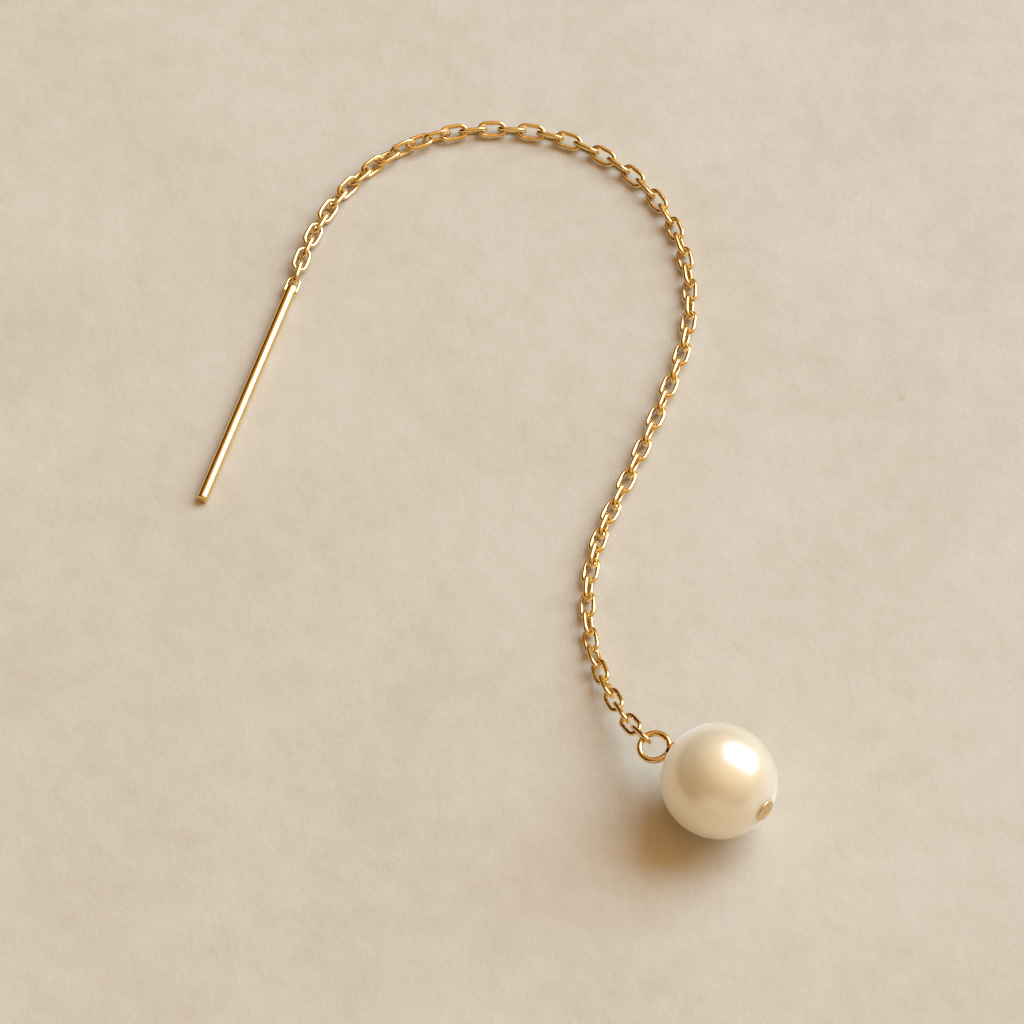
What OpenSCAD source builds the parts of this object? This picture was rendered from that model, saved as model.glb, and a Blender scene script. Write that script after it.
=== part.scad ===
// A threader earring laid on a flat surface: a round bar, a cable chain and a drilled pearl
// on a pin with a ring. The surface is the plane z = 0, and the origin is the middle of the
// part's outline on it. Sizes are in millimetres.

/* [Threader bar] */
// Diameter of the bar that is passed through the ear
bar_d = 0.85; // [0.8:0.05:0.95]
// Length of the bar, without the eyelet on its end
bar_length = 20; // [15:0.5:25]
// Rounding of the edge at both ends of the bar
bar_edge = 0.12; // [0.05:0.01:0.2]

/* [Eyelet on the bar] */
// Thickness of the eyelet's wire
eyelet_wire = 0.24; // [0.22:0.01:0.28]
// Width of the eyelet's opening
eyelet_gap = 0.66; // [0.62:0.01:0.7]
// Reach of the opening past the end of the bar
eyelet_reach = 0.62; // [0.6:0.01:0.8]
// Length of each leg that is soldered along the bar
eyelet_leg = 0.5; // [0.3:0.1:1]
// Height of the eyelet's wire over the axis of the bar
eyelet_rise = 0.18; // [0.14:0.01:0.2]

/* [Chain] */
// Thickness of the link wire
wire = 0.33; // [0.28:0.01:0.33]
// Inner length of a link
link_inner_length = 1.63; // [1.6:0.01:1.7]
// Inner width of a link
link_inner_width = 0.66; // [0.66:0.01:0.75]
// Clear space between two links that are drawn apart
link_clearance = 0.12; // [0.12:0.01:0.15]
// Links at the pearl's end that hang between the surface and the ring
hanging_links = 9; // [7:1:12]

/* [How it lies] */
// Direction of the bar, in degrees from +X
bar_heading = 72.5; // [65:0.5:80]
// Direction of the first link
chain_heading = 77; // [70:0.5:85]
// Roll of the first link around its long axis
first_roll = -72; // [-78:1:-66]
// Direction of the pin, from the ring to the far side of the pearl
pin_heading = -40; // [-60:0.5:-20]
// Slope of the pin, down to the ring
pin_tilt = 5; // [0:0.5:8]

/* [Pearl] */
// Diameter of the pearl
pearl_d = 8; // [7:0.1:9]
// Diameter of the drill hole
drill_d = 0.7; // [0.65:0.05:1]
// Depth of the flat that is ground at the far end of the drill hole
flat_depth = 0.1; // [0.05:0.01:0.15]

/* [Ring and pin] */
// Thickness of the ring's wire
ring_wire = 0.44; // [0.36:0.01:0.44]
// Diameter of the ring at the middle of its wire
ring_d = 2.08; // [1.9:0.02:2.3]
// Space between the ring's wire and the pearl
ring_clearance = 0.08; // [0.05:0.01:0.15]
// How far the middle of the ring lies beside the pin
ring_offset = 0.45; // [0:0.05:0.5]
// Roll of the ring around the pin
ring_roll = -10; // [-20:1:-5]
// Place on the ring where the chain pulls, in degrees from the pin's line
hook_angle = -10; // [-20:1:10]
// Diameter of the pin
pin_d = 0.5; // [0.4:0.05:0.55]
// Diameter of the collar between the ring and the pearl
collar_d = 1.3; // [1:0.05:1.6]
// Height of the collar over the pearl
collar_height = 0.35; // [0.3:0.01:0.5]
// Diameter of the pin's flat head
head_d = 1.6; // [1.2:0.05:1.7]
// Thickness of the pin's head
head_thickness = 0.14; // [0.12:0.01:0.3]
// Space between the metal and the pearl
seat_gap = 0.05; // [0.05:0.01:0.08]

/* [Hidden] */

$fn = 48;
// Sides of the large round outlines
FINE = 128;
GOLD = [0.85, 0.64, 0.32];
PEARL = [0.92, 0.88, 0.79];

// Columns of the chain's table
LINKS = 0; // links in the stretch
TURN = 1; // change of direction from link to link, in degrees, to the left when plus
TWIST = 2; // change of roll from link to link, on top of the quarter turn of a cable chain
SLACK = 3; // how much nearer two links sit than when they are drawn apart
// A row for each stretch of the chain, from the bar to the pearl
STRETCHES = [
    [5, -3, 4, 0.28],
    [5, -5, 5, 0.16],
    [5, -6, 11.5, 0.12],
    [13, -6, 0, 0.03],
    [4, -4.5, 0, 0.04],
    [5, -4, -5, 0.03],
    [9, -0.5, 0, 0],
    [4, 3.5, 3, 0.21],
    [5, 4.5, 5, 0.03],
    [4, 2.5, -5, 0.03],
    [3, 5, 0, 0.02]
];
QUARTER_TURN = 90;

bar_r = bar_d / 2;
pearl_r = pearl_d / 2;
ring_r = ring_d / 2;
bend_r = (link_inner_width + wire) / 2;
link_straight = link_inner_length - link_inner_width;

// Running sums of a list, from a first value; each entry leaves its own step out
function running(steps, first) =
    [for (i = 0, sum = first; i < len(steps); sum = sum + steps[i], i = i + 1) sum];

// Turns a point around X, around Y and around Z
function around_x(p, a) = [p.x, p.y * cos(a) - p.z * sin(a), p.y * sin(a) + p.z * cos(a)];
function around_y(p, a) = [p.x * cos(a) + p.z * sin(a), p.y, p.z * cos(a) - p.x * sin(a)];
function around_z(p, a) = [p.x * cos(a) - p.y * sin(a), p.x * sin(a) + p.y * cos(a), p.z];

// Unit vector of a direction on the surface and a climb above it
function direction(heading, climb) =
    [cos(heading) * cos(climb), sin(heading) * cos(climb), sin(climb)];

// Height of a link's middle when it and its neighbours, a quarter turn on, lie on the surface
function rest_height(roll) = bend_r * max(abs(sin(roll)), abs(cos(roll))) + wire / 2;

// How far a link reaches in a direction with these parts along and across the link
function link_reach(along, across) =
    link_straight / 2 * abs(along) + bend_r * norm([along, across]) + wire / 2;

// The table's row, direction, roll and pitch of each link
link_rows = [for (row = STRETCHES) for (k = [1 : row[LINKS]]) row];
link_count = len(link_rows);
headings = running([for (row = link_rows) row[TURN]], chain_heading);
rolls = running([for (row = link_rows) row[TWIST] + QUARTER_TURN], first_roll);
pitches = [for (row = link_rows) link_inner_length - link_clearance - row[SLACK]];

// Where the chain pulls on the ring, seen from the middle of the pearl
ring_distance = pearl_r + ring_clearance + ring_wire / 2 + ring_r;
ring_middle = [sqrt(pow(ring_distance, 2) - pow(ring_offset, 2)), ring_offset, 0];
hook_on_ring = ring_middle + ring_r * [cos(hook_angle), sin(hook_angle), 0];
hook_offset = around_z(around_y(around_x(hook_on_ring, ring_roll), pin_tilt), pin_heading + 180);

// The hanging links follow a parabola from the surface up to the ring
last = link_count - 1;
ring_reach = link_inner_length / 2 - link_clearance - ring_wire / 2;
last_share = 0.5 + ring_reach / pitches[last];
hang_share = (pow(hanging_links - 1, 2) + last_share * (2 * hanging_links - 1)) / pow(hanging_links, 2);
hang_rise = (pearl_r + hook_offset.z - rest_height(rolls[last])) / hang_share;
function lift(joint) =
    hang_rise * pow(max(0, joint - link_count + hanging_links) / hanging_links, 2);
climbs = [for (i = [0 : last]) asin((lift(i + 1) - lift(i)) / pitches[i])];
link_steps = [for (i = [0 : last]) pitches[i] * direction(headings[i], climbs[i])];

// Places on the surface, with the free end of the bar at [0, 0]
eyelet_top = (bar_length + eyelet_reach + eyelet_wire / 2) * direction(bar_heading, 0);
first_reach = link_inner_length / 2 - link_clearance - eyelet_wire / 2;
chain_start = eyelet_top + (first_reach - pitches[0] / 2) * direction(chain_heading, 0);
joints = running(link_steps, chain_start);
link_middles = [for (i = [0 : last]) joints[i] + link_steps[i] / 2 + [0, 0, rest_height(rolls[i])]];
hook = link_middles[last] + ring_reach * direction(headings[last], climbs[last]);
pearl_middle = hook - hook_offset;

// The middle of the outline of the whole part
link_tops = [for (i = [0 : last])
    link_middles[i].y + link_reach(sin(headings[i]), cos(headings[i]) * cos(rolls[i]))];
low_corner = [-bar_r * sin(bar_heading), pearl_middle.y - pearl_r];
high_corner = [pearl_middle.x + pearl_r, max(link_tops)];
outline_middle = (low_corner + high_corner) / 2;

// Moves a piece from the bar's frame to the part's own frame
module in_place() {
    translate([-outline_middle.x, -outline_middle.y, 0]) children();
}

// A round rod along X with rounded edges
module rod(length, radius, edge) {
    rotate([0, 90, 0]) rotate_extrude() {
        square([radius - edge, length]);
        translate([0, edge]) square([radius, length - 2 * edge]);
        for (z = [edge, length - edge]) translate([radius - edge, z]) circle(edge);
    }
}

// Half a ring of wire in the XY plane, open towards -X
module half_ring(middle_r, wire_d) {
    rotate([0, 0, -90]) rotate_extrude(angle = 180) translate([middle_r, 0]) circle(d = wire_d);
}

// The eyelet: a bend of wire with two legs along the sides of the bar, which ends at x = 0
module eyelet() {
    side = (eyelet_gap + eyelet_wire) / 2;
    bend_x = eyelet_reach - eyelet_gap / 2;
    translate([bend_x, 0, 0]) half_ring(side, eyelet_wire);
    for (y = [-side, side]) translate([-eyelet_leg, y, 0]) {
        sphere(d = eyelet_wire);
        rotate([0, 90, 0]) cylinder(h = eyelet_leg + bend_x, d = eyelet_wire);
    }
}

// One link in the XY plane, long along X: two bends and two straight sides
module link() {
    for (end = [0, 180]) rotate([0, 0, end]) {
        translate([link_straight / 2, 0, 0]) half_ring(bend_r, wire);
        translate([-link_straight / 2, bend_r, 0]) rotate([0, 90, 0])
            cylinder(h = link_straight, d = wire);
    }
}

// Outline of the pin with its collar and head, turned around the Y axis of the drawing
module pin_outline() {
    head_top = flat_depth - seat_gap - pearl_r;
    head_edge = head_thickness / 2;
    collar_edge = collar_height / 3;
    collar_top = pearl_r + collar_height;
    translate([0, head_top - head_edge]) square([pin_d / 2, collar_top - head_top]);
    translate([0, head_top - head_thickness]) square([head_d / 2 - head_edge, head_thickness]);
    translate([head_d / 2 - head_edge, head_top - head_edge]) circle(head_edge);
    difference() {
        union() {
            square([collar_d / 2 - collar_edge, collar_top]);
            square([collar_d / 2, collar_top - collar_edge]);
            translate([collar_d / 2 - collar_edge, collar_top - collar_edge]) circle(collar_edge);
        }
        circle(pearl_r + seat_gap, $fn = FINE);
    }
}

// Places a piece that is modelled around the middle of the pearl, with +X towards the ring
module at_pearl() {
    in_place() translate([pearl_middle.x, pearl_middle.y, pearl_r])
        rotate([0, pin_tilt, pin_heading + 180]) children();
}

// The bar with its soldered eyelet
module threader_bar() {
    color(GOLD) in_place() translate([0, 0, bar_r]) rotate([0, 0, bar_heading]) {
        rod(bar_length, bar_r, bar_edge);
        translate([bar_length, 0, eyelet_rise]) eyelet();
    }
}

// The loose links, each through its neighbours
module chain() {
    color(GOLD) in_place() for (i = [0 : last])
        translate(link_middles[i]) rotate([0, -climbs[i], headings[i]]) rotate([rolls[i], 0, 0]) link();
}

// The ring with its collar, the pin through the pearl and the pin's head
module eye_pin() {
    color(GOLD) at_pearl() {
        rotate([ring_roll, 0, 0]) translate(ring_middle)
            rotate_extrude() translate([ring_r, 0]) circle(d = ring_wire);
        rotate([0, 90, 0]) rotate_extrude() pin_outline();
    }
}

// The drilled pearl with its small flat on the far side
module pearl() {
    color(PEARL) at_pearl() rotate([0, 90, 0]) rotate_extrude($fn = FINE) difference() {
        circle(pearl_r, $fn = FINE);
        translate([drill_d / 2 - pearl_d, -pearl_r]) square(pearl_d);
        translate([0, flat_depth - pearl_r - pearl_d]) square(pearl_d);
    }
}

threader_bar();
chain();
eye_pin();
pearl();
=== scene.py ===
"""Looks of a threader earring that lies on a pale surface: gold bar, cable chain, pin and pearl.

Sizes of the part are in millimetres until a mesh is made. The floor, the camera's place, the
light, bump distances and the nacre's subsurface scale are in metres, as Blender works. A scale
of noise or cells is how many of them a metre holds.
"""

from math import cos, pi, radians, sin, sqrt

import bpy
import numpy as np
from mathutils import Matrix, Vector


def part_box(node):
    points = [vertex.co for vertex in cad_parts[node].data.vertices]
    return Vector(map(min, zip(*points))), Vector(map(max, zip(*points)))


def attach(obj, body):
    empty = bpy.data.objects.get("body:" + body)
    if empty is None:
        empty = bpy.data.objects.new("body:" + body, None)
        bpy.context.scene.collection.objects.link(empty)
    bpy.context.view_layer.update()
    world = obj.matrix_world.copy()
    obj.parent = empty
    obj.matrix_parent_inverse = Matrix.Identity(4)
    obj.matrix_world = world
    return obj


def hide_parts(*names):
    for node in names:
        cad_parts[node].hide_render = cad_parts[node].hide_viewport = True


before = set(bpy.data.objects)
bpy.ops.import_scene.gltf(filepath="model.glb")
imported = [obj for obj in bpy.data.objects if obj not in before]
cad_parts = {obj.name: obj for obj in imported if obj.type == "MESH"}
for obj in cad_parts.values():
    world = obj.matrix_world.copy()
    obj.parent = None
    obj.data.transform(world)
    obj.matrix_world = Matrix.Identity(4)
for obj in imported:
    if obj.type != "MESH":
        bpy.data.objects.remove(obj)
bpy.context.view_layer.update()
MM = 0.001

# The sizes of the CAD source, in millimetres and degrees
BAR_D, BAR_LENGTH, BAR_EDGE, BAR_HEADING = 0.85, 20.0, 0.12, 72.5
EYELET_WIRE, EYELET_GAP, EYELET_REACH, EYELET_LEG, EYELET_RISE = 0.24, 0.66, 0.62, 0.5, 0.18
WIRE, LINK_INNER_LENGTH, LINK_INNER_WIDTH = 0.33, 1.63, 0.66
PIN_HEADING, PIN_TILT, RING_ROLL = -40.0, 5.0, -10.0
PEARL_R, DRILL_R, FLAT_DEPTH = 4.0, 0.35, 0.1
RING_WIRE, RING_D, RING_CLEARANCE, RING_OFFSET = 0.44, 2.08, 0.08, 0.45
PIN_R, COLLAR_R, COLLAR_HEIGHT, SEAT_GAP = 0.25, 0.65, 0.35, 0.05
HEAD_R, HEAD_THICKNESS = 0.8, 0.14

# How finely the round meshes are divided
BAR_SIDES, EYELET_SIDES, LINK_SIDES, PIN_SIDES, RING_SIDES, PEARL_SIDES = 64, 20, 16, 72, 32, 240
RING_STEPS = 120

# Edges that turn by more than this, in degrees, are shaded as sharp
SMOOTH_ANGLE = 50

# The seeds of the small irregularities
BAR_SEED, CHAIN_SEED, EYE_PIN_SEED, PEARL_SEED = 11, 23, 37, 41

# The camera and the lights, fitted to the photograph. The angle is in degrees, and the lens and
# the sensor are in millimetres
CAMERA_PLACE = (0.002277, -0.206337, 0.29567)
CAMERA_ELEVATION = 55.5
CAMERA_LENS, CAMERA_SENSOR = 175.78, 36
CAMERA_CLIP = (0.01, 5)
KEY_TOWARDS = (0.63, 0.38, 0.68)
KEY_DISTANCE = 1.2
KEY_SIZE = (1.25, 0.85)
KEY_WATTS = 21.1
KEY_COLOUR = (0.465, 0.735, 0.99)
WORLD_STRENGTH = 1.22

# Half the side of the floor
FLOOR_HALF = 1.5


# Meshes

def unit(v):
    v = np.asarray(v, float)
    return v / np.linalg.norm(v)


def wave(count, rng, low=2, high=9):
    """Smooth closed noise of about unit size, one value for each of count places."""
    t = np.arange(count) / count * 2 * pi
    total = np.zeros(count)
    for k in range(low, high + 1):
        total += rng.normal() * np.sin(k * t + rng.uniform(0, 2 * pi)) / sqrt(high - low + 1)
    return total


def tube(path, normals, radii, sides, closed):
    """Round wire along a path: verts and faces. normals are unit vectors across the path."""
    path, normals = np.asarray(path, float), np.asarray(normals, float)
    count = len(path)
    if closed:
        along = np.roll(path, -1, 0) - np.roll(path, 1, 0)
    else:
        along = np.gradient(path, axis=0)
    along /= np.linalg.norm(along, axis=1)[:, None]
    across = np.cross(along, normals)
    angles = np.arange(sides) / sides * 2 * pi
    radii = np.broadcast_to(np.asarray(radii, float).reshape(count, -1), (count, sides))
    verts = (path[:, None]
             + radii[..., None] * (np.cos(angles)[None, :, None] * normals[:, None]
                                   + np.sin(angles)[None, :, None] * across[:, None]))
    faces = []
    rows = count if closed else count - 1
    for i in range(rows):
        a, b = i * sides, (i + 1) % count * sides
        for k in range(sides):
            m = (k + 1) % sides
            faces.append((a + k, a + m, b + m, b + k))
    return verts.reshape(-1, 3), faces


def lathe(profile, sides):
    """Turns (along X, radius) points around the X axis. A radius of 0 closes an end."""
    verts, faces, rows = [], [], []
    angles = np.arange(sides) / sides * 2 * pi
    for x, r in profile:
        if r == 0:
            rows.append([len(verts)])
            verts.append((x, 0, 0))
        else:
            rows.append(list(range(len(verts), len(verts) + sides)))
            verts += [(x, r * cos(a), r * sin(a)) for a in angles]
    for a, b in zip(rows, rows[1:]):
        for k in range(sides):
            m = (k + 1) % sides
            if len(a) == 1:
                faces.append((a[0], b[m], b[k]))
            elif len(b) == 1:
                faces.append((a[k], a[m], b[0]))
            else:
                faces.append((a[k], a[m], b[m], b[k]))
    return np.array(verts), faces


def joined(parts):
    """Several (verts, faces) as one, with nothing welded."""
    verts, faces, start = [], [], 0
    for v, f in parts:
        verts.append(v)
        faces += [tuple(i + start for i in face) for face in f]
        start += len(v)
    return np.vstack(verts), faces


def placed(verts, origin, axes):
    """Moves points from a local frame, whose X, Y and Z are the rows of axes, to the part's."""
    return np.asarray(verts) @ np.asarray(axes) + np.asarray(origin)


def direction(heading, climb=0.0):
    h, c = radians(heading), radians(climb)
    return np.array([cos(h) * cos(c), sin(h) * cos(c), sin(c)])


def flat_normals(count):
    """The normals of a path that lies in its own XY plane."""
    return np.tile([0, 0, 1.0], (count, 1))


def piece(name, verts, faces, material, slot, *nodes):
    """Makes a mesh that stands for the named CAD nodes."""
    mesh = bpy.data.meshes.new(name)
    mesh.from_pydata((np.asarray(verts) * MM).tolist(), [], faces)
    mesh.validate()
    obj = bpy.data.objects.new(name, mesh)
    bpy.context.scene.collection.objects.link(obj)
    mesh.materials.append(material)
    bpy.context.view_layer.objects.active = obj
    obj.select_set(True)
    bpy.ops.object.mode_set(mode="EDIT")
    bpy.ops.mesh.select_all(action="SELECT")
    bpy.ops.mesh.normals_make_consistent(inside=False)
    bpy.ops.object.mode_set(mode="OBJECT")
    bpy.ops.object.shade_smooth_by_angle(angle=radians(SMOOTH_ANGLE))
    obj.select_set(False)
    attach(obj, "root")
    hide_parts(*nodes)
    return obj


# Shader nodes

def nodes_of(name):
    """A new material, its tree, its shader, and the object coordinates that place its detail."""
    material = bpy.data.materials.new(name)
    material.use_nodes = True
    tree = material.node_tree
    shader = next(n for n in tree.nodes if n.type == "BSDF_PRINCIPLED")
    place = add(tree, "ShaderNodeTexCoord").outputs["Object"]
    return material, tree, shader, place


def add(tree, kind, **values):
    node = tree.nodes.new(kind)
    for key, value in values.items():
        setattr(node, key, value)
    return node


def set_inputs(node, values):
    """Sets a node's sockets from {the socket's name or number: its value}."""
    for socket, value in values.items():
        node.inputs[socket].default_value = value


def noise(tree, place, scale, detail, roughness=0.55):
    node = add(tree, "ShaderNodeTexNoise")
    set_inputs(node, {"Scale": scale, "Detail": detail, "Roughness": roughness})
    tree.links.new(place, node.inputs["Vector"])
    return node.outputs["Fac"]


def ramp(tree, value, stops):
    """Colours by value, between stops of (position, colour)."""
    node = add(tree, "ShaderNodeValToRGB")
    elements = node.color_ramp.elements
    while len(elements) < len(stops):
        elements.new(0.5)
    for element, (position, colour) in zip(elements, stops):
        element.position = position
        element.color = (*colour, 1)
    tree.links.new(value, node.inputs["Fac"])
    return node.outputs["Color"]


def mapped(tree, value, old, new):
    """Maps the range old of a value to the range new, and holds it beyond the ends."""
    node = add(tree, "ShaderNodeMapRange")
    set_inputs(node, {"From Min": old[0], "From Max": old[1], "To Min": new[0], "To Max": new[1]})
    tree.links.new(value, node.inputs["Value"])
    return node.outputs["Result"]


def spread(tree, noise_value, low, high):
    """Spreads the middle of a noise's range, where most of its values lie, from low to high."""
    return mapped(tree, noise_value, (0.3, 0.7), (low, high))


def combined(tree, kind, operation, first, second):
    """A Math or Vector Math node with both of its inputs linked."""
    node = add(tree, kind, operation=operation)
    tree.links.new(first, node.inputs[0])
    tree.links.new(second, node.inputs[1])
    return node.outputs[0]


def bump(tree, value, strength, distance, before=None):
    node = add(tree, "ShaderNodeBump")
    set_inputs(node, {"Strength": strength, "Distance": distance})
    tree.links.new(value, node.inputs["Height"])
    if before is not None:
        tree.links.new(before, node.inputs["Normal"])
    return node.outputs["Normal"]


# Materials

def gold_material():
    """Polished plating with a faint haze, a soft ripple and a fine grain."""
    material, tree, shader, place = nodes_of("gold_plate")
    shader.inputs["Metallic"].default_value = 1.0
    tone = noise(tree, place, scale=700, detail=3)
    colour = ramp(tree, tone, [(0.3, (0.88, 0.62, 0.25)), (0.7, (0.94, 0.7, 0.32))])
    tree.links.new(colour, shader.inputs["Base Color"])
    haze = noise(tree, place, scale=2500, detail=5)
    tree.links.new(spread(tree, haze, 0.08, 0.16), shader.inputs["Roughness"])
    ripple = noise(tree, place, scale=2200, detail=2)
    soft = bump(tree, ripple, strength=0.25, distance=0.00002)
    grain = noise(tree, place, scale=14000, detail=3)
    fine = bump(tree, grain, strength=0.15, distance=0.000004, before=soft)
    tree.links.new(fine, shader.inputs["Normal"])
    return material


def satin_material():
    """The worn face of the pin's head: the same gold, duller and browner."""
    material, tree, shader, place = nodes_of("gold_satin")
    shader.inputs["Metallic"].default_value = 1.0
    tone = noise(tree, place, scale=1600, detail=4)
    colour = ramp(tree, tone, [(0.35, (0.72, 0.5, 0.27)), (0.65, (0.93, 0.73, 0.47))])
    tree.links.new(colour, shader.inputs["Base Color"])
    haze = noise(tree, place, scale=4000, detail=4)
    tree.links.new(spread(tree, haze, 0.35, 0.5), shader.inputs["Roughness"])
    scuff = noise(tree, place, scale=9000, detail=4)
    rub = bump(tree, scuff, strength=0.3, distance=0.000008)
    tree.links.new(rub, shader.inputs["Normal"])
    return material


def nacre_material():
    """Nacre: a tan, translucent body under a strong, soft, whitish reflection, with a faint
    painted glow.
    """
    material, tree, shader, place = nodes_of("nacre")
    tone = noise(tree, place, scale=140, detail=3, roughness=0.5)
    colour = ramp(tree, tone, [(0.3, (0.67, 0.585, 0.435)), (0.7, (0.72, 0.645, 0.5))])
    tree.links.new(colour, shader.inputs["Base Color"])
    haze = noise(tree, place, scale=900, detail=4)
    tree.links.new(spread(tree, haze, 0.29, 0.33), shader.inputs["Roughness"])
    set_inputs(shader, {
        "IOR": 2.8,
        "Subsurface Weight": 1.0,
        "Subsurface Radius": (1.0, 0.85, 0.65),
        "Subsurface Scale": 0.006,
        # painted light: the nacre gives off a faint warm glow of its own, even all over, in place
        # of light that has crossed the pearl; it lifts the side away from the key
        "Emission Color": (1.0, 0.74, 0.38, 1),
        "Emission Strength": 0.14,
        "Sheen Weight": 1.0,
        "Sheen Roughness": 0.45,
        "Sheen Tint": (0.96, 0.98, 1.0, 1),
        "Coat Weight": 1.0,
        "Coat Roughness": 0.2,
        "Coat IOR": 1.6,
    })
    growth = noise(tree, place, scale=420, detail=2)
    soft = bump(tree, growth, strength=0.2, distance=0.00003)
    tree.links.new(soft, shader.inputs["Normal"])
    return material


def speck_share(tree, place):
    """How much a place is darkened: the middles of some small, bent cells, and 0 elsewhere."""
    waver = add(tree, "ShaderNodeTexNoise")
    set_inputs(waver, {"Scale": 900})
    tree.links.new(place, waver.inputs["Vector"])
    bent = add(tree, "ShaderNodeVectorMath", operation="MULTIPLY_ADD")
    tree.links.new(waver.outputs["Color"], bent.inputs[0])
    set_inputs(bent, {1: (0.0009, 0.0009, 0.0009)})
    tree.links.new(place, bent.inputs[2])
    cells = add(tree, "ShaderNodeTexVoronoi")
    set_inputs(cells, {"Scale": 110})
    tree.links.new(bent.outputs[0], cells.inputs["Vector"])
    near_middle = mapped(tree, cells.outputs["Distance"], (0.025, 0.055), (1.0, 0.0))
    chosen_cell = mapped(tree, cells.outputs["Color"], (0.6, 0.78), (0.0, 0.4))
    return combined(tree, "ShaderNodeMath", "MULTIPLY", near_middle, chosen_cell)


def floor_material():
    """Pale mineral paper: soft clouds, fine mottling, grain and a few small specks."""
    material, tree, shader, place = nodes_of("floor_paper")
    cloud = noise(tree, place, scale=75, detail=3, roughness=0.5)
    mottle = noise(tree, place, scale=420, detail=6, roughness=0.65)
    total = combined(tree, "ShaderNodeMath", "ADD", cloud, mottle)
    average = add(tree, "ShaderNodeMath", operation="MULTIPLY")
    tree.links.new(total, average.inputs[0])
    set_inputs(average, {1: 0.5})
    paper = ramp(tree, average.outputs[0], [
        (0.36, (0.635, 0.55, 0.435)), (0.5, (0.675, 0.592, 0.475)), (0.64, (0.705, 0.625, 0.51))])
    mix = add(tree, "ShaderNodeMix", data_type="RGBA")
    tree.links.new(speck_share(tree, place), mix.inputs["Factor"])
    tree.links.new(paper, mix.inputs["A"])
    set_inputs(mix, {"B": (0.36, 0.22, 0.1, 1)})
    tree.links.new(mix.outputs["Result"], shader.inputs["Base Color"])
    shader.inputs["Roughness"].default_value = 0.85
    broad = bump(tree, mottle, strength=0.35, distance=0.00025)
    grain = noise(tree, place, scale=2500, detail=5, roughness=0.6)
    fine = bump(tree, grain, strength=0.35, distance=0.00006, before=broad)
    tree.links.new(fine, shader.inputs["Normal"])
    return material


GOLD = gold_material()
SATIN = satin_material()
NACRE = nacre_material()
FLOOR = floor_material()


# The bar with its eyelet

def corner(x, r, edge, towards, steps=6):
    """Quarter round from an end face to the side, around (x, r)."""
    return [(x + towards * edge * cos(a), r + edge * sin(a))
            for a in np.linspace(0, pi / 2, steps + 1)]


def rod(rng):
    """The straight bar along X, from 0, with a faint sway of its surface."""
    radius = BAR_D / 2
    end_rings = (0.12, 0.24)
    sway_depth, sway_counts = 0.0006, range(3, 22, 3)
    inset = 0.3
    profile = [(0, 0)] + [(0, r) for r in end_rings]
    profile += corner(BAR_EDGE, radius - BAR_EDGE, BAR_EDGE, -1)
    profile += [(x, radius) for x in np.linspace(inset, BAR_LENGTH - inset, 120)]
    profile += reversed(corner(BAR_LENGTH - BAR_EDGE, radius - BAR_EDGE, BAR_EDGE, 1))
    profile += [(BAR_LENGTH, r) for r in reversed(end_rings)] + [(BAR_LENGTH, 0)]
    verts, faces = lathe(profile, BAR_SIDES)
    turns = verts[:, 0] / BAR_LENGTH * 2 * pi
    waves = [rng.normal() * np.sin(k * turns + rng.uniform(0, 6)) for k in sway_counts]
    swell = 1 + sum(waves) * sway_depth / radius
    verts[:, 1:] *= swell[:, None]
    return verts, faces


def eyelet():
    """A U of wire past the bar's end, with rounded, closed ends on both of its legs."""
    side = (EYELET_GAP + EYELET_WIRE) / 2
    bend_x = EYELET_REACH - EYELET_GAP / 2
    wire_r = EYELET_WIRE / 2
    least_share = 0.02
    path = [(x, -side) for x in np.linspace(-EYELET_LEG, bend_x, 14)]
    path += [(bend_x + side * sin(a), -side * cos(a)) for a in np.linspace(0, pi, 29)[1:]]
    path += [(x, side) for x in np.linspace(bend_x, -EYELET_LEG, 14)[1:]]
    # each leg's end: how far along its rounding a ring lies, and its share of the wire's radius
    rounding = [(wire_r * (1 - cos(a)), sin(a)) for a in np.linspace(0, pi / 2, 6)[:-1]]
    tip_x = -EYELET_LEG - wire_r
    head = [(tip_x + d, -side) for d, _ in rounding]
    tail = [(tip_x + d, side) for d, _ in reversed(rounding)]
    end_shares = [max(share, least_share) for _, share in rounding]
    shares = end_shares + [1.0] * len(path) + end_shares[::-1]
    points = np.array([(BAR_LENGTH + x, y, EYELET_RISE) for x, y in head + path + tail])
    radii = wire_r * np.array(shares)
    verts, faces = tube(points, flat_normals(len(points)), radii, EYELET_SIDES, False)
    last_row = len(verts) - EYELET_SIDES
    faces += [tuple(range(EYELET_SIDES)), tuple(range(last_row, last_row + EYELET_SIDES))]
    return verts, faces


def make_bar():
    verts, faces = joined([rod(np.random.default_rng(BAR_SEED)), eyelet()])
    low = np.array(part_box("threader_bar")[0]) / MM
    turned = radians(BAR_HEADING)
    tip = low + BAR_D / 2 * np.array([sin(turned), cos(turned), 1])
    axes = [direction(BAR_HEADING), direction(BAR_HEADING + 90), (0, 0, 1)]
    verts = placed(verts, tip, axes)
    piece("threader_bar_metal", verts, faces, GOLD, "gold", "threader_bar")


# The chain

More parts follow.
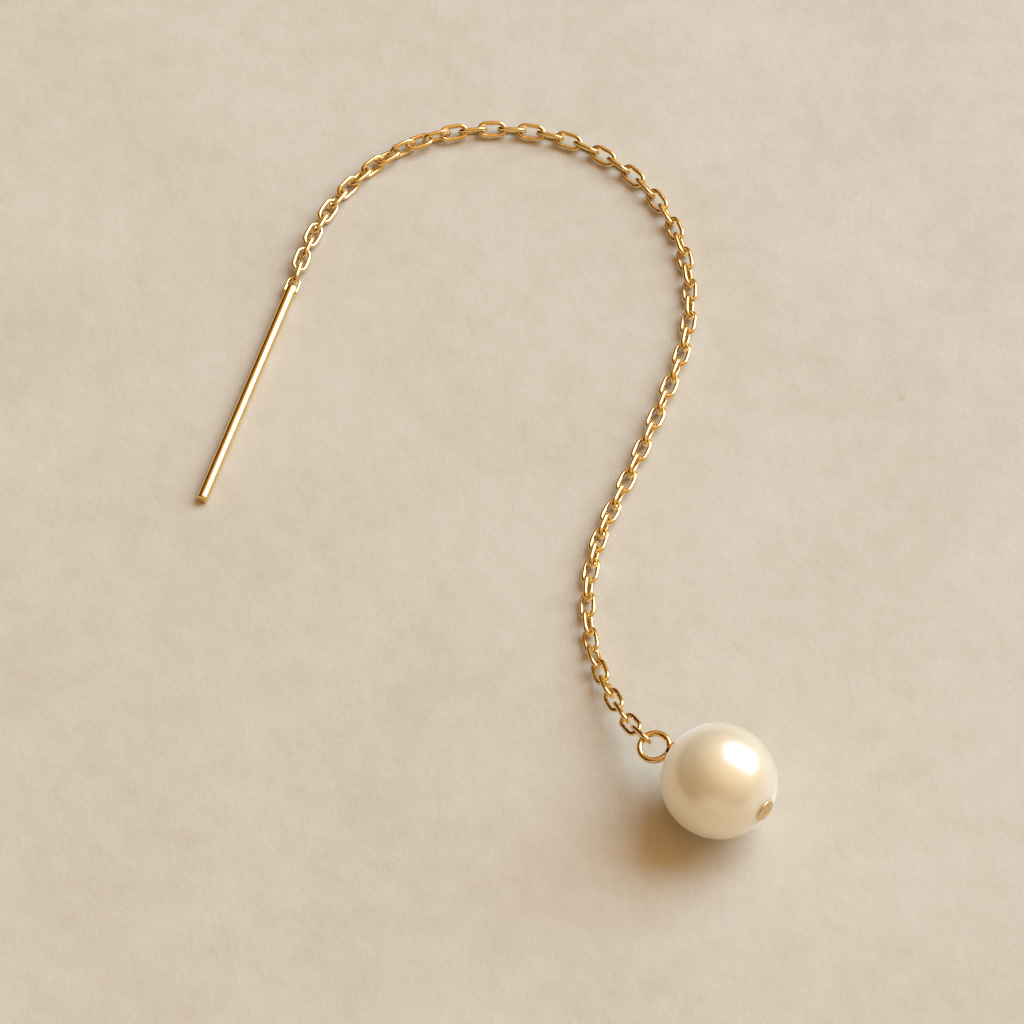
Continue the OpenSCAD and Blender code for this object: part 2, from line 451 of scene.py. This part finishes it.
def loose_parts(obj):
    """The separate solids of a CAD node: a list of (verts, triangles) in millimetres."""
    mesh = obj.data
    co = np.zeros(len(mesh.vertices) * 3)
    mesh.vertices.foreach_get("co", co)
    co = co.reshape(-1, 3) / MM
    mesh.calc_loop_triangles()
    tris = np.zeros(len(mesh.loop_triangles) * 3, int)
    mesh.loop_triangles.foreach_get("vertices", tris)
    verts, merged = np.unique(np.round(co, 4), axis=0, return_inverse=True)
    tris = merged.reshape(-1)[tris].reshape(-1, 3)
    # each vertex takes the lowest label next to it, until every solid has one label of its own
    label = np.arange(len(verts))
    while True:
        least = label[tris].min(1)
        new = label.copy()
        for k in range(3):
            np.minimum.at(new, tris[:, k], least)
        new = new[new]
        if (new == label).all():
            break
        label = new
    parts = []
    for value in np.unique(label):
        own = tris[label[tris[:, 0]] == value]
        if len(own):
            parts.append((verts, own))
    return parts


def link_frame(verts, tris):
    """Middle, and the long, wide and thin directions, of a link's surface."""
    a, b, c = verts[tris[:, 0]], verts[tris[:, 1]], verts[tris[:, 2]]
    area = np.linalg.norm(np.cross(b - a, c - a), axis=1) / 2
    middle = ((a + b + c) / 3 * area[:, None]).sum(0) / area.sum()
    spread_sum = np.zeros((3, 3))
    for p in (a - middle, b - middle, c - middle, (a + b + c) - 3 * middle):
        spread_sum += (p * area[:, None]).T @ p / 12
    vectors = np.linalg.eigh(spread_sum)[1]
    long_way, wide_way = vectors[:, 2], vectors[:, 1]
    return middle, long_way, wide_way, np.cross(long_way, wide_way)


def link_mesh(rng):
    """One link in the XY plane, long along X, with a faint solder seam in one long side."""
    straight = (LINK_INNER_LENGTH - LINK_INNER_WIDTH) / 2
    bend = (LINK_INNER_WIDTH + WIRE) / 2
    draw_in = 0.13
    thinning, unevenness = 0.98, 0.007
    seam_rise, seam_width, seam_reach = 0.02, 0.1, 0.15
    path = [(x, -bend) for x in np.linspace(-straight, straight, 13)[:-1]]
    path += [(straight + bend * sin(a), -bend * cos(a)) for a in np.linspace(0, pi, 19)[:-1]]
    path += [(x, bend) for x in np.linspace(straight, -straight, 13)[:-1]]
    path += [(-straight - bend * sin(a), bend * cos(a)) for a in np.linspace(0, pi, 19)[:-1]]
    # the corners are drawn in a little, as in a link that is bent round a mandrel
    path = [(x, y * (1 - draw_in * (x / (straight + bend)) ** 2), 0) for x, y in path]
    path = np.array(path)
    radii = WIRE / 2 * (thinning + unevenness * wave(len(path), rng))
    seam_x = rng.uniform(-seam_reach, seam_reach)
    seam = np.exp(-((path[:, 0] - seam_x) / seam_width) ** 2) * (path[:, 1] < 0)
    radii = radii * (1 + seam_rise * seam)
    return tube(path, flat_normals(len(path)), radii, LINK_SIDES, True)


def make_chain():
    """A link of its own on each link of the CAD chain, taken in order from the bar on."""
    rng = np.random.default_rng(CHAIN_SEED)
    found = [link_frame(*part) for part in loose_parts(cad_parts["chain"])]
    bar_high = np.array(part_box("threader_bar")[1]) / MM
    here = np.array([bar_high[0], bar_high[1], 0])
    before = direction(BAR_HEADING)
    parts = []
    while found:
        nearest = min(range(len(found)), key=lambda i: np.linalg.norm(found[i][0] - here))
        middle, long_way, wide_way, thin_way = found.pop(nearest)
        if long_way @ before < 0:
            long_way, wide_way = -long_way, -wide_way
        if wide_way[2] < 0:
            wide_way, thin_way = -wide_way, -thin_way
        verts, faces = link_mesh(rng)
        parts.append((placed(verts, middle, [long_way, wide_way, thin_way]), faces))
        here, before = middle, long_way
    verts, faces = joined(parts)
    piece("chain_links", verts, faces, GOLD, "gold", "chain")


# The pearl and its pin

def pearl_frame():
    """The pearl's middle, and its axes: X along the pin towards the ring."""
    low, high = (np.array(c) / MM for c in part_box("pearl"))
    to_ring = direction(PIN_HEADING + 180, -PIN_TILT)
    side = direction(PIN_HEADING + 270)
    return (low + high) / 2, [to_ring, side, np.cross(to_ring, side)]


def head_profile():
    """The flat head: its outer face, its round rim and its inner face."""
    inner_x = -(PEARL_R - FLAT_DEPTH + SEAT_GAP)
    edge = HEAD_THICKNESS / 2
    rim = HEAD_R - edge
    profile = [(inner_x - HEAD_THICKNESS, r) for r in np.linspace(0, rim, 9)]
    profile += [(inner_x - edge - edge * cos(a), rim + edge * sin(a))
                for a in np.linspace(0, pi, 9)[1:]]
    inner_ring = 0.45
    return profile + [(inner_x, inner_ring), (inner_x, PIN_R)]


def collar_profile():
    """The collar: its hollow seat over the pearl, its round lip and its slightly domed top."""
    seat = PEARL_R + SEAT_GAP
    lip = COLLAR_HEIGHT / 3
    top = PEARL_R + COLLAR_HEIGHT
    dome = [(0.02, 0.3), (0.03, 0.15), (0.03, 0)]
    profile = [(sqrt(seat**2 - r**2), r) for r in np.linspace(PIN_R, COLLAR_R, 7)]
    profile += [(top - lip + lip * sin(a), COLLAR_R - lip + lip * cos(a))
                for a in np.linspace(0, pi / 2, 9)]
    return profile + [(top + rise, r) for rise, r in dome]


def pin():
    """The head, the shank and the collar, turned around X."""
    head, collar = head_profile(), collar_profile()
    first, last = head[-1][0] + 0.1, collar[0][0] - 0.05
    shank = [(x, PIN_R) for x in np.linspace(first, last, 12)]
    return lathe(head + shank + collar, PIN_SIDES)


def ring(rng):
    """The ring, with its middle a little beside the pin's line, rolled about that line."""
    ring_r = RING_D / 2
    distance = PEARL_R + RING_CLEARANCE + RING_WIRE / 2 + ring_r
    middle_x = sqrt(distance**2 - RING_OFFSET**2)
    unevenness = 0.006
    path = [(middle_x + ring_r * cos(a), RING_OFFSET + ring_r * sin(a), 0)
            for a in np.arange(RING_STEPS) / RING_STEPS * 2 * pi]
    radii = RING_WIRE / 2 * (1 + unevenness * wave(RING_STEPS, rng))
    verts, faces = tube(path, flat_normals(RING_STEPS), radii, RING_SIDES, True)
    roll = radians(RING_ROLL)
    turn = np.array([(1, 0, 0), (0, cos(roll), sin(roll)), (0, -sin(roll), cos(roll))])
    return verts @ turn, faces


def make_eye_pin():
    """The pin and its ring, with the satin finish on the outer half of the head."""
    verts, faces = joined([pin(), ring(np.random.default_rng(EYE_PIN_SEED))])
    middle, axes = pearl_frame()
    obj = piece("eye_pin_metal", placed(verts, middle, axes), faces, GOLD, "gold", "eye_pin")
    obj.data.materials.append(SATIN)
    outer_half = PEARL_R - FLAT_DEPTH + SEAT_GAP + HEAD_THICKNESS / 2
    for face in obj.data.polygons:
        if (np.array(face.center) / MM - middle) @ axes[0] < -outer_half:
            face.material_index = 1


def drilled_ball():
    """The pearl around X: its sphere, the flat at one end and the wall of the drill hole."""
    flat_r = sqrt(PEARL_R**2 - (PEARL_R - FLAT_DEPTH) ** 2)
    flat_x = -(PEARL_R - FLAT_DEPTH)
    start = np.arcsin(DRILL_R / PEARL_R)
    end = pi - np.arcsin(flat_r / PEARL_R)
    profile = [(PEARL_R * cos(a), PEARL_R * sin(a)) for a in np.linspace(start, end, 150)]
    profile += [(flat_x, r) for r in np.linspace(flat_r, DRILL_R, 6)[1:]]
    profile += [(x, DRILL_R) for x in np.linspace(flat_x, PEARL_R * cos(start), 14)[1:-1]]
    verts, faces = lathe(profile, PEARL_SIDES)
    last_row = (len(profile) - 1) * PEARL_SIDES
    for k in range(PEARL_SIDES):
        m = (k + 1) % PEARL_SIDES
        faces.append((last_row + k, last_row + m, m, k))
    return verts, faces


def make_pearl():
    rng = np.random.default_rng(PEARL_SEED)
    swell_count, swell_rates, swell_depth, shrink = 24, (0.6, 2.4), 0.0006, 0.002
    verts, faces = drilled_ball()
    # a natural pearl is never quite even: broad swells of a few thousandths of a millimetre
    swell = np.zeros(len(verts))
    for _ in range(swell_count):
        way = unit(rng.normal(size=3))
        height = rng.normal()
        phases = verts @ way * rng.uniform(*swell_rates)
        swell += height * np.sin(phases + rng.uniform(0, 6))
    hole_margin = 0.01
    outside = np.linalg.norm(verts[:, 1:], axis=1) > DRILL_R + hole_margin
    verts = verts * (1 + (outside * (swell * swell_depth - shrink) / PEARL_R))[:, None]
    middle, axes = pearl_frame()
    piece("pearl_nacre", placed(verts, middle, axes), faces, NACRE, "pearl", "pearl")


make_bar()
make_chain()
make_eye_pin()
make_pearl()


# Floor, light and camera

def make_floor():
    corners = [(-1, -1), (1, -1), (1, 1), (-1, 1)]
    mesh = bpy.data.meshes.new("floor")
    mesh.from_pydata([(x * FLOOR_HALF, y * FLOOR_HALF, 0) for x, y in corners], [], [(0, 1, 2, 3)])
    obj = bpy.data.objects.new("floor", mesh)
    bpy.context.scene.collection.objects.link(obj)
    mesh.materials.append(FLOOR)


def make_key_light():
    light = bpy.data.lights.new("key", "AREA")
    light.shape = "RECTANGLE"
    light.size, light.size_y = KEY_SIZE
    light.energy = KEY_WATTS
    light.color = KEY_COLOUR
    obj = bpy.data.objects.new("key", light)
    way = Vector(KEY_TOWARDS).normalized()
    # one pair of edges follows the X axis, which is level in the view, as the highlight shows
    level = (Vector((1, 0, 0)) - way.x * way).normalized()
    turn = Matrix((level, way.cross(level), way)).transposed().to_4x4()
    obj.matrix_world = Matrix.Translation(way * KEY_DISTANCE) @ turn
    bpy.context.scene.collection.objects.link(obj)


def facing(tree, view, towards, stops):
    """Colours by how far a direction of view points the given way."""
    node = add(tree, "ShaderNodeVectorMath", operation="DOT_PRODUCT")
    set_inputs(node, {1: towards})
    tree.links.new(view, node.inputs[0])
    return ramp(tree, node.outputs["Value"], stops)


def make_world():
    world = bpy.data.worlds.new("studio")
    bpy.context.scene.world = world
    world.use_nodes = True
    tree = world.node_tree
    tree.nodes.clear()
    view = add(tree, "ShaderNodeTexCoord").outputs["Generated"]
    # a warm room: bright overhead and on the key light's side, dark low down and away from it
    room = facing(tree, view, (0.5, 0.15, 0.85), [
        (0.0, (0.05, 0.018, 0.004)), (0.35, (0.11, 0.045, 0.01)),
        (0.62, (0.5, 0.305, 0.12)), (1.0, (1.0, 0.62, 0.265))])
    # a low, pale glow on the viewer's side, which draws the arc below the pearl's dark middle
    glow = facing(tree, view, (-0.2, -0.97, -0.1), [
        (0.75, (0.0, 0.0, 0.0)), (0.96, (0.6, 0.58, 0.5))])
    background = add(tree, "ShaderNodeBackground")
    total = combined(tree, "ShaderNodeVectorMath", "ADD", room, glow)
    tree.links.new(total, background.inputs["Color"])
    set_inputs(background, {"Strength": WORLD_STRENGTH})
    output = add(tree, "ShaderNodeOutputWorld")
    tree.links.new(background.outputs["Background"], output.inputs["Surface"])


def make_camera():
    data = bpy.data.cameras.new("camera")
    data.lens, data.sensor_width = CAMERA_LENS, CAMERA_SENSOR
    data.clip_start, data.clip_end = CAMERA_CLIP
    obj = bpy.data.objects.new("camera", data)
    obj.location = CAMERA_PLACE
    obj.rotation_euler = (radians(90 - CAMERA_ELEVATION), 0, 0)
    bpy.context.scene.collection.objects.link(obj)
    bpy.context.scene.camera = obj


make_floor()
make_key_light()
make_world()
make_camera()
bpy.context.scene.view_settings.view_transform = "Standard"
bpy.context.scene.view_settings.look = "None"
